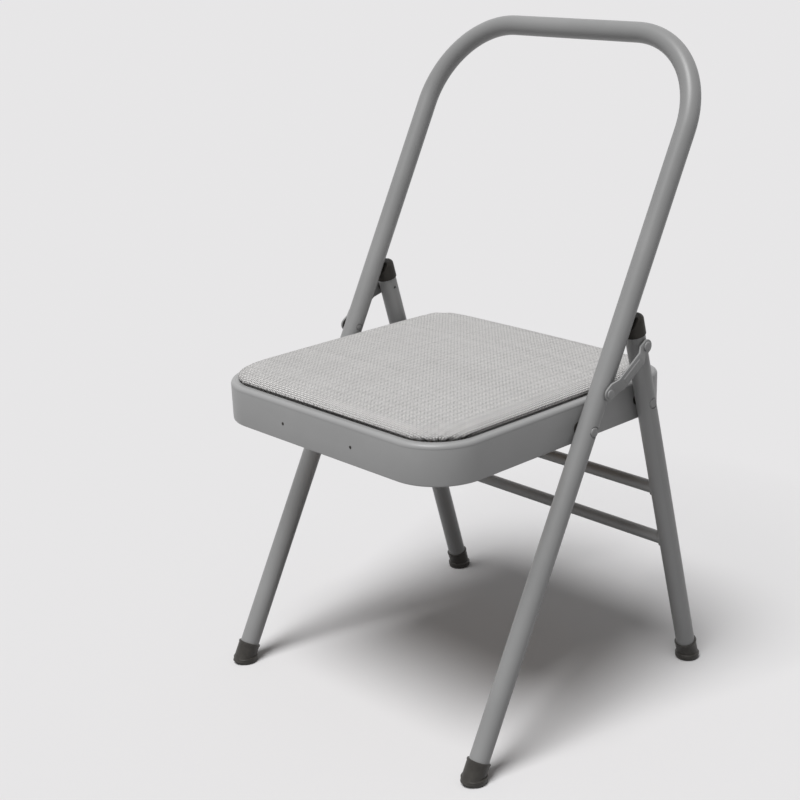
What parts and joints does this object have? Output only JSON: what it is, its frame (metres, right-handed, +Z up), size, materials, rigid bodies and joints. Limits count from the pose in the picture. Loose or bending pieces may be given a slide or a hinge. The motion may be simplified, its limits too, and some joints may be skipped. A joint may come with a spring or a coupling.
{
  "type": "backless yoga chair",
  "caption": "Folding chair with no back panel: bent tube hoop and front legs, straight rear legs, links and a padded pressed steel seat that fold flat.",
  "frame": {"origin": "on the floor, under the middle of the unfolded chair's bounding box", "axes": "+Z up, -Y towards the seat's front edge, +Y towards the hoop, +X to the right of someone who faces +Y"},
  "size_m": [0.477, 0.4704, 0.825],
  "materials": {
    "frame_paint": "satin powder coat",
    "rivet_paint": "satin powder coat over domed rivet heads",
    "zinc_steel": "bright zinc plate",
    "nylon": "matte",
    "cap_plastic": "satin moulded",
    "foot_rubber": "matte moulded",
    "linen_cover": "coarse basket weave",
    "foam": "open cell foam",
    "plywood": "raw sanded"
  },
  "bodies": {
    "front_frame": {"front_frame": "frame_paint", "front_foot_left": "foot_rubber", "front_foot_right": "foot_rubber", "link_lower_rivet_left": "rivet_paint", "link_lower_rivet_right": "rivet_paint", "link_lower_washer_left": "nylon", "link_lower_washer_right": "nylon"},
    "seat": {"seat_pan": "frame_paint", "pivot_plate_left": "frame_paint", "pivot_plate_right": "frame_paint", "cushion_cover": "linen_cover", "cushion_foam": "foam", "cushion_board": "plywood", "cushion_screw_front_left": "zinc_steel", "cushion_screw_front_right": "zinc_steel", "cushion_screw_rear_left": "zinc_steel", "cushion_screw_rear_right": "zinc_steel", "seat_front_rivet_left": "rivet_paint", "seat_front_rivet_right": "rivet_paint", "seat_rear_rivet_left": "rivet_paint", "seat_rear_rivet_right": "rivet_paint", "seat_front_washer_left": "nylon", "seat_front_washer_right": "nylon", "seat_rear_washer_left": "nylon", "seat_rear_washer_right": "nylon"},
    "rear_legs": {"rear_leg_left": "frame_paint", "rear_leg_right": "frame_paint", "rear_crossbar_upper": "frame_paint", "rear_crossbar_lower": "frame_paint", "rear_leg_cap_left": "cap_plastic", "rear_leg_cap_right": "cap_plastic", "rear_foot_left": "foot_rubber", "rear_foot_right": "foot_rubber", "link_upper_pin_left": "zinc_steel", "link_upper_pin_right": "zinc_steel", "link_upper_washer_left": "nylon", "link_upper_washer_right": "nylon"},
    "links": {"link_left": "frame_paint", "link_right": "frame_paint", "link_upper_rivet_left": "rivet_paint", "link_upper_rivet_right": "rivet_paint"}
  },
  "joints": [
    {"name": "seat_fold", "type": "hinge", "parent": "front_frame", "child": "seat", "pos_m": [0, -0.00568, 0.383], "axis": [-1, 0, 0], "range_deg": [0, 107]},
    {"name": "rear_leg_fold", "type": "hinge", "parent": "seat", "child": "rear_legs", "pos_m": [0, 0.10482, 0.391], "axis": [1, 0, 0], "range_deg": [0, 64.2]},
    {"name": "link_fold", "type": "hinge", "parent": "front_frame", "child": "links", "pos_m": [0, 0.01665, 0.425], "axis": [-1, 0, 0], "range_deg": [0, 129.6]}
  ],
  "couplings": [
    {"joint": "rear_leg_fold", "follows": "seat_fold", "ratio": 0.59987},
    {"joint": "link_fold", "follows": "seat_fold", "ratio": 1.2105}
  ]
}
